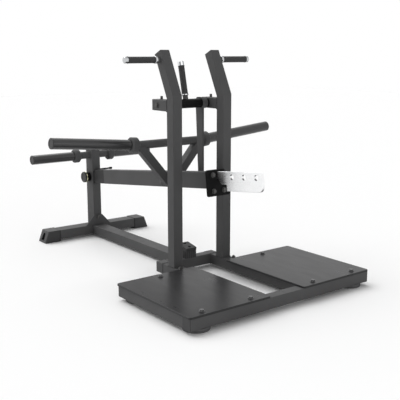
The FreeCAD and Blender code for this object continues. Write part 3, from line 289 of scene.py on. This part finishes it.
def paint_hole_shade(tree, metal):
    """Paints shade on the walls of the belt's holes, where they look up or down."""
    holes = [mount for mount in frame["record"]["mounts"] if mount["name"].startswith("hook_hole")]
    gaps = []
    for hole in holes:
        gap = tree.nodes.new("ShaderNodeVectorMath")
        gap.operation = "DISTANCE"
        gap.inputs[1].default_value = (0, *hole["pos_m"][1:])
        tree.links.new(own_place(tree, stretch=(0, 1, 1)), gap.inputs[0])
        gaps.append(gap.outputs["Value"])
    nearest = gaps[0]
    for gap in gaps[1:]:
        nearest = worked_out(tree, "MINIMUM", nearest, gap)
    radius = holes[0]["dims"]["r_mm"] * MM
    around = spread(tree, nearest, FALLING, (radius + HOLE_RIM, radius + 2 * HOLE_RIM))
    painted_wall_shade = worked_out(tree, "MULTIPLY", around, spread(tree, steepness(tree), WHOLE, HOLE_WALL_BAND))
    # Painted shade: the hole walls take a dark grey.
    overlay(tree, metal, painted_wall_shade, HOLE_SHADE_GREY)


def brushed_plate(name, colour):
    """Plated flat bar, brushed along its length, with a soft bloom."""
    finish, tree, metal = new_finish(name)
    metal.inputs["Metallic"].default_value = 1.0
    lines = speckle(tree, BRUSHING, stretch=BRUSHING_STRETCH, detail=FINE)
    tint(tree, metal, speckle(tree, BLOOM), colour, BLOOM_SHARES)
    tree.links.new(spread(tree, lines, BRUSHED_ROUGHNESS, MIDDLE), metal.inputs["Roughness"])
    relief(tree, metal, lines, BRUSHING_DEPTH)
    paint_hole_shade(tree, metal)
    return finish


# Oiled black of the bolts, lighter where a spanner has touched it.
OILED_METAL = 0.35
SPANNER = 0.004
SPANNER_BAND = (0.45, 0.75)
SPANNER_SHARES = (1.0, 3.0)
BOLT_ROUGHNESS = (0.55, 0.42)
BOLT_GRAIN = 0.0006
BOLT_GRAIN_DEPTH = 0.00001


def blacked_fastener(name, colour):
    """Oiled black steel of the bolts, with marks of a spanner."""
    finish, tree, metal = new_finish(name)
    metal.inputs["Metallic"].default_value = OILED_METAL
    touch = speckle(tree, SPANNER, detail=FINER)
    tint(tree, metal, spread(tree, touch, WHOLE, SPANNER_BAND), colour, SPANNER_SHARES)
    tree.links.new(spread(tree, touch, BOLT_ROUGHNESS, MIDDLE), metal.inputs["Roughness"])
    relief(tree, metal, speckle(tree, BOLT_GRAIN), BOLT_GRAIN_DEPTH)
    return finish


# Rubber and plastic: roughness, size of the mould's grain and its depth, and the blots in the colour.
GRIP_MOULD = (0.62, 0.0011, 0.00006)
CAP_MOULD = (0.50, 0.0006, 0.00002)
FOOT_MOULD = (0.70, 0.0012, 0.00005)
MOULD_SHINE = 0.3
BLOT = 0.02
BLOT_SHARES = (0.85, 1.2)
BLOT_SWING = 0.06
# Painted shadow of the cap's seam: how far it reaches past the mouth, and its blur.
SEAM = 0.0040
SEAM_BLUR = 0.0020


def moulded(name, colour, roughness, grain, depth):
    """Moulded rubber or plastic with the fine texture of its mould."""
    finish, tree, skin = new_finish(name)
    skin.inputs["Specular IOR Level"].default_value = MOULD_SHINE
    cells = tree.nodes.new("ShaderNodeTexVoronoi")
    cells.inputs["Scale"].default_value = 1 / grain
    tree.links.new(own_place(tree), cells.inputs["Vector"])
    blots = speckle(tree, BLOT, detail=FINE)
    tint(tree, skin, blots, colour, BLOT_SHARES)
    span = (roughness - BLOT_SWING, roughness + BLOT_SWING)
    tree.links.new(spread(tree, blots, span, MIDDLE), skin.inputs["Roughness"])
    relief(tree, skin, cells.outputs["Distance"], depth)
    return finish


def cap_with_seam_shadow(name, node):
    """Plastic of a stabiliser cap, with a painted shadow in the seam where its mouth goes over the tube."""
    finish = moulded(name, CAP_BLACK, *CAP_MOULD)
    tree = finish.node_tree
    low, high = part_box(node)
    mouth = min(abs(low[0]), abs(high[0]))
    parts = tree.nodes.new("ShaderNodeSeparateXYZ")
    tree.links.new(own_place(tree), parts.inputs["Vector"])
    across = worked_out(tree, "ABSOLUTE", parts.outputs["X"])
    # Painted shadow: the cap darkens to near black by its mouth.
    seam = spread(tree, across, FALLING, (mouth + SEAM, mouth + SEAM + SEAM_BLUR))
    overlay(tree, tree.nodes["Principled BSDF"], seam, SEAM_SHADOW_BLACK)
    return finish


# Roughness and shine of the powder coats.
FRAME_COAT = (0.46, 0.08)
BLACK_COAT = (0.42, 0.09)
PLATE_BOLT_COAT = (0.34, 0.16)

# The finish of each slot of the record.
FINISHES = {
    "frame_paint": powder_coat("graphite_powder_coat", GRAPHITE, *FRAME_COAT),
    "deck_paint": deck_coat("sanded_deck_coat", DECK_GREY),
    "black_paint": powder_coat("satin_black_coat", SATIN_BLACK, *BLACK_COAT),
    "sleeve_steel": sleeve_coat("rubbed_sleeve_coat", SLEEVE_GREY),
    "bright_chrome": polished_plating("polished_chrome", CHROME),
    "hook_steel": brushed_plate("brushed_hook_steel", BRUSHED_STEEL),
    "bolt_steel": blacked_fastener("blacked_bolt_steel", BLACKED_STEEL),
    "black_rubber": moulded("grip_rubber", RUBBER_BLACK, *GRIP_MOULD),
    "black_plastic": moulded("moulded_cap_plastic", CAP_BLACK, *CAP_MOULD),
    "foot_rubber": moulded("foot_rubber", FOOT_GREY, *FOOT_MOULD),
    "ring_brass": polished_plating("pale_brass", PALE_BRASS),
}

# Finishes of single nodes that differ a little from the rest of their slot.
SPECIAL = {
    "plate_bolts": powder_coat("coated_plate_bolts", BOLT_GREY, *PLATE_BOLT_COAT),
    # Partly the yoke's dark paint, partly painted shade where it meets the post.
    "pivot_yoke": powder_coat("yoke_coat_and_painted_shade", YOKE_BLACK_AND_SHADE, *FRAME_COAT),
    "stabilizer_cap_left": cap_with_seam_shadow("left_stabiliser_cap", "stabilizer_cap_left"),
    "stabilizer_cap_right": cap_with_seam_shadow("right_stabiliser_cap", "stabilizer_cap_right"),
}


def dress_nodes():
    """Gives each node of the part the finish that the record names for it."""
    for piece in frame["record"]["subparts"]:
        skin = frame["nodes"][piece["node"]].data.materials
        skin.clear()
        skin.append(SPECIAL.get(piece["node"], FINISHES[piece["material_slot"]]))


def finished_piece(shell, name, slot, body):
    """Turns a shell into a piece with the finish of a slot, carried by a body."""
    bmesh.ops.recalc_face_normals(shell, faces=shell.faces)
    mesh = bpy.data.meshes.new(name)
    shell.to_mesh(mesh)
    shell.free()
    piece = bpy.data.objects.new(name, mesh)
    scene.collection.objects.link(piece)
    mesh.materials.append(FINISHES[slot])
    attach(piece, body)


def round_edges(shell, made, radius):
    """Rounds all edges of a shape that was just made."""
    edges = list(dict.fromkeys(edge for vert in made["verts"] for edge in vert.link_edges))
    bmesh.ops.bevel(shell, geom=edges, offset=radius, offset_type="OFFSET", segments=2,
                    profile=0.5, affect="EDGES", material=-1)


def low_end(node, axis):
    """Where a node begins along an axis."""
    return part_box(node)[0][axis]


def high_end(node, axis):
    """Where a node ends along an axis."""
    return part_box(node)[1][axis]


def width(node, axis):
    """How far a node reaches along an axis."""
    return high_end(node, axis) - low_end(node, axis)


# Axes, and sizes in metres of the tubes that the welds join: the struts reach out to the bent load tube.
X, Y, Z = 0, 1, 2
TUBE = width("rail_left", X)
ARM_WIDTH = width("lever_arm", X)
STRUT = width("strut_left", Y)
STRUT_REACH = 0.183
LOAD_HEIGHT = 0.609

# Welds: height of a bead, distance and length of its ripples, and how round a ripple is.
WELD = 0.0026
RIPPLE = 0.0032
RIPPLE_LENGTH_SHARE = 0.8
RIPPLE_FACETS = {"u_segments": 8, "v_segments": 5}
FEWEST_RIPPLES = 2


def lay_ripples(shell, places):
    """Adds one weld, a row of rounded ripples at the given places, to a shell."""
    seam = bmesh.new()
    for place in places:
        bmesh.ops.create_uvsphere(seam, radius=WELD, matrix=place, **RIPPLE_FACETS)
    for face in seam.faces:
        face.smooth = True
    mesh = bpy.data.meshes.new("seam")
    seam.to_mesh(mesh)
    seam.free()
    shell.from_mesh(mesh)
    bpy.data.meshes.remove(mesh)


def weld_line(shell, start, stop):
    """Overlapping ripples of a weld from one corner to the next."""
    start, stop = Vector(start), Vector(stop)
    run = stop - start
    count = max(FEWEST_RIPPLES, round(run.length / RIPPLE))
    turn = run.to_track_quat("X", "Z").to_matrix().to_4x4()
    squeeze = Matrix.Diagonal((RIPPLE_LENGTH_SHARE, 1, 1, 1))
    spots = [Matrix.Translation(start.lerp(stop, step / count)) for step in range(count + 1)]
    lay_ripples(shell, [spot @ turn @ squeeze for spot in spots])


def weld_frame(shell, axis, level, low, high):
    """Weld around a rectangular tube end that meets a flat face across an axis."""
    others = [side for side in (X, Y, Z) if side != axis]
    corners = []
    for first, second in ((low, low), (high, low), (high, high), (low, high)):
        corner = [level, level, level]
        corner[others[0]] = first[others[0]]
        corner[others[1]] = second[others[1]]
        corners.append(corner)
    for start, stop in zip(corners, corners[1:] + corners[:1]):
        weld_line(shell, start, stop)


def weld_ring(shell, centre, radius):
    """Weld around a round tube along X."""
    count = round(math.tau * radius / RIPPLE)
    turns = [Matrix.Rotation(math.tau * step / count, 4, "X") for step in range(count)]
    rise = Matrix.Translation((0, 0, radius))
    lay_ripples(shell, [Matrix.Translation(centre) @ turn @ rise for turn in turns])


def weld_base_side(shell, side):
    """Welds of one side of the base and of one upright."""
    rail_low, rail_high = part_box("rail_" + side)
    weld_frame(shell, Y, low_end("cross_tube", Y), rail_low, rail_high)
    weld_frame(shell, Y, high_end("front_tube", Y), rail_low, rail_high)
    side_low, side_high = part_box("side_tube_" + side)
    weld_frame(shell, Y, high_end("front_tube", Y), side_low, side_high)
    foot_low, foot_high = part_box("upright_" + side)
    foot_rear = (foot_high[X], foot_low[Y] + TUBE, foot_high[Z])
    weld_frame(shell, Z, foot_low[Z], foot_low, foot_rear)
    arm_low, arm_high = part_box("upper_bracket_" + side)
    weld_frame(shell, Y, foot_rear[Y], arm_low, arm_high)


def weld_post_side(shell, side):
    """Welds of the storage tube and of a pivot housing on one side of the rear post."""
    face = low_end("rear_post", X) if side == "left" else high_end("rear_post", X)
    for name in ("storage_tube", "pivot_housings"):
        low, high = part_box(name)
        centre = (face, (low[Y] + high[Y]) / 2, (low[Z] + high[Z]) / 2)
        weld_ring(shell, centre, (high[Z] - low[Z]) / 2)


def frame_welds():
    """Welds of the base, the uprights and the post, painted over with the frame."""
    shell = bmesh.new()
    beam_low, beam_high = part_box("main_beam")
    weld_frame(shell, Y, high_end("cross_tube", Y), beam_low, beam_high)
    weld_frame(shell, Y, low_end("rear_stabilizer", Y), beam_low, beam_high)
    for side in ("left", "right"):
        weld_base_side(shell, side)
        weld_post_side(shell, side)
    finished_piece(shell, "frame_welds", "frame_paint", "frame")


def lever_welds():
    """Welds of the struts' feet on the arm's sides, painted over with the lever."""
    shell = bmesh.new()
    for side in ("left", "right"):
        low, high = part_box("strut_" + side)
        inner = high[X] if side == "left" else low[X]
        lean = math.atan2(STRUT_REACH - ARM_WIDTH / 2, LOAD_HEIGHT - low[Z])
        foot = STRUT / math.sin(lean)
        weld_frame(shell, X, inner, low, (high[X], high[Y], low[Z] + foot))
    finished_piece(shell, "lever_welds", "frame_paint", "lever")


# Nuts on the rails: their place, and facets, radius and height of washer, nut and stud end.
NUT_FROM_EDGE = 0.0095
NUT_FROM_UPRIGHT = 0.036
NUT_EDGE = 0.0004
WASHER = (36, 0.0105, 0.0020)
NUT = (6, 0.0094, 0.0084)
STUD_END = (24, 0.0050, 0.0040)


def rail_nuts():
    """A washer, nut and stud end on each rail, between the standing plate and the upright's foot."""
    shell = bmesh.new()
    for side in ("left", "right"):
        rail_low, rail_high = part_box("rail_" + side)
        x = rail_low[X] + NUT_FROM_EDGE if side == "left" else rail_high[X] - NUT_FROM_EDGE
        y = low_end("upright_" + side, Y) - NUT_FROM_UPRIGHT
        level = rail_high[Z]
        for facets, radius, height in (WASHER, NUT, STUD_END):
            place = Matrix.Translation((x, y, level + height / 2))
            made = bmesh.ops.create_cone(shell, cap_ends=True, segments=facets, radius1=radius,
                                         radius2=radius, depth=height, matrix=place)
            round_edges(shell, made, NUT_EDGE)
            level += height
    finished_piece(shell, "rail_nuts", "bolt_steel", "frame")


# Ribs of the bump stop's rubber: their size, distance and number, and the lever's tilt at rest.
RIB_WIDTH = 0.0055
RIB_PITCH = 0.0120
RIB_PROUD = 0.0026
RIB_EDGE = 0.0007
RIBS_ACROSS = 5
RIBS_DEEP = 4
LEVER_TILT = 6.7


def pad_slope():
    """Slope of the bump stop's pad in degrees: the lever's drop less its tilt at rest."""
    lever = next(joint for joint in frame["joints"] if joint["name"] == "lever_pivot")
    return -lever["range_deg"][0] - LEVER_TILT


def even_row(middle, count):
    """Places of a row of ribs around a middle."""
    return [middle + (step - (count - 1) / 2) * RIB_PITCH for step in range(count)]


def stop_ribs():
    """Upright ribs of the bump stop's rubber sleeve, on its front and its sides."""
    shell = bmesh.new()
    low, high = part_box("bump_stop_bracket")
    fall = math.tan(math.radians(pad_slope()))
    front_top = high[Z] - (high[Y] - low[Y]) * fall
    spots = []
    for x in even_row((low[X] + high[X]) / 2, RIBS_ACROSS):
        spots.append((x, low[Y], RIB_WIDTH, 2 * RIB_PROUD, front_top))
    for y in even_row((low[Y] + high[Y]) / 2, RIBS_DEEP):
        top = front_top + (y - low[Y]) * fall - RIB_EDGE
        for x in (low[X], high[X]):
            spots.append((x, y, 2 * RIB_PROUD, RIB_WIDTH, top))
    for x, y, wide, deep, top in spots:
        size = Matrix.Diagonal((wide, deep, top - low[Z], 1))
        place = Matrix.Translation((x, y, (top + low[Z]) / 2))
        round_edges(shell, bmesh.ops.create_cube(shell, size=1, matrix=place @ size), RIB_EDGE)
    finished_piece(shell, "bump_stop_ribs", "black_rubber", "frame")


# Floor and sky: reach in metres, white of the floor, and what the eye sees added to it.
FLOOR_REACH = 14.0
FLOOR_CELLS = 8
FLOOR_WHITE = 0.94
FLOOR_GLOW = 0.02
SKY_FILL = 0.34

# Lamps: strength, then in degrees their width, their height above the floor, and their place round the
# machine, from its left towards its front. The left is at a heading of 180 degrees.
LAMPS = {
    "rear_window": (1.90, 60, 60, -90),
    "side_window": (0.85, 60, 30, -45),
    "front_fill": (0.80, 60, 5, 90),
}
LEFT_HEADING = 180


def seen_directly(tree):
    """One where the eye, a mirror or a clear piece sees the surface, and zero where it only gives light."""
    path = tree.nodes.new("ShaderNodeLightPath")
    seen = worked_out(tree, "ADD", path.outputs["Is Camera Ray"], path.outputs["Is Glossy Ray"])
    return worked_out(tree, "ADD", seen, path.outputs["Is Transmission Ray"], clamp=True)


def white_floor():
    """A large pale floor that keeps the shadow."""
    shell = bmesh.new()
    bmesh.ops.create_grid(shell, x_segments=FLOOR_CELLS, y_segments=FLOOR_CELLS, size=FLOOR_REACH)
    mesh = bpy.data.meshes.new("studio_floor")
    shell.to_mesh(mesh)
    shell.free()
    floor = bpy.data.objects.new("studio_floor", mesh)
    scene.collection.objects.link(floor)
    finish = bpy.data.materials.new("studio_floor_white")
    finish.use_nodes = True
    tree = finish.node_tree
    tree.nodes.clear()
    matt = tree.nodes.new("ShaderNodeBsdfDiffuse")
    matt.inputs["Color"].default_value = (FLOOR_WHITE, FLOOR_WHITE, FLOOR_WHITE, 1)
    glow = tree.nodes.new("ShaderNodeEmission")
    tree.links.new(spread(tree, seen_directly(tree), (0, FLOOR_GLOW)), glow.inputs["Strength"])
    both = tree.nodes.new("ShaderNodeAddShader")
    tree.links.new(matt.outputs["BSDF"], both.inputs[0])
    tree.links.new(glow.outputs["Emission"], both.inputs[1])
    out = tree.nodes.new("ShaderNodeOutputMaterial")
    tree.links.new(both.outputs["Shader"], out.inputs["Surface"])
    mesh.materials.append(finish)


def white_sky():
    """White to the eye and to mirrors, and a softer fill in the light that it gives."""
    world = bpy.data.worlds.new("studio_sky")
    world.use_nodes = True
    tree = world.node_tree
    tree.nodes.clear()
    sky = tree.nodes.new("ShaderNodeBackground")
    sky.inputs["Color"].default_value = (1, 1, 1, 1)
    tree.links.new(spread(tree, seen_directly(tree), (SKY_FILL, 1)), sky.inputs["Strength"])
    out = tree.nodes.new("ShaderNodeOutputWorld")
    tree.links.new(sky.outputs["Background"], out.inputs["Surface"])
    scene.world = world


def soft_lamp(name, strength, width_angle, height, side):
    """A wide even lamp, height degrees above the floor and side degrees round from the machine's left."""
    lamp = bpy.data.lights.new(name, "SUN")
    lamp.energy = strength
    lamp.angle = math.radians(width_angle)
    holder = bpy.data.objects.new(name, lamp)
    scene.collection.objects.link(holder)
    heading = math.radians(LEFT_HEADING + side)
    rise = math.radians(height)
    level = math.cos(rise)
    towards = Vector((math.cos(heading) * level, math.sin(heading) * level, math.sin(rise)))
    holder.rotation_euler = towards.to_track_quat("Z", "Y").to_euler()


def photo_camera():
    """The camera at the photograph's viewing angle, for a square frame."""
    eye = bpy.data.cameras.new("photo_camera")
    eye.lens = CAMERA_LENS
    holder = bpy.data.objects.new("photo_camera", eye)
    scene.collection.objects.link(holder)
    holder.location = CAMERA_PLACE
    holder.rotation_euler = (math.radians(90 - CAMERA_DIP), 0, math.radians(-CAMERA_HEADING))
    scene.camera = holder


dress_nodes()
frame_welds()
lever_welds()
rail_nuts()
stop_ribs()
white_floor()
white_sky()
for name, lamp in LAMPS.items():
    soft_lamp(name, *lamp)
photo_camera()
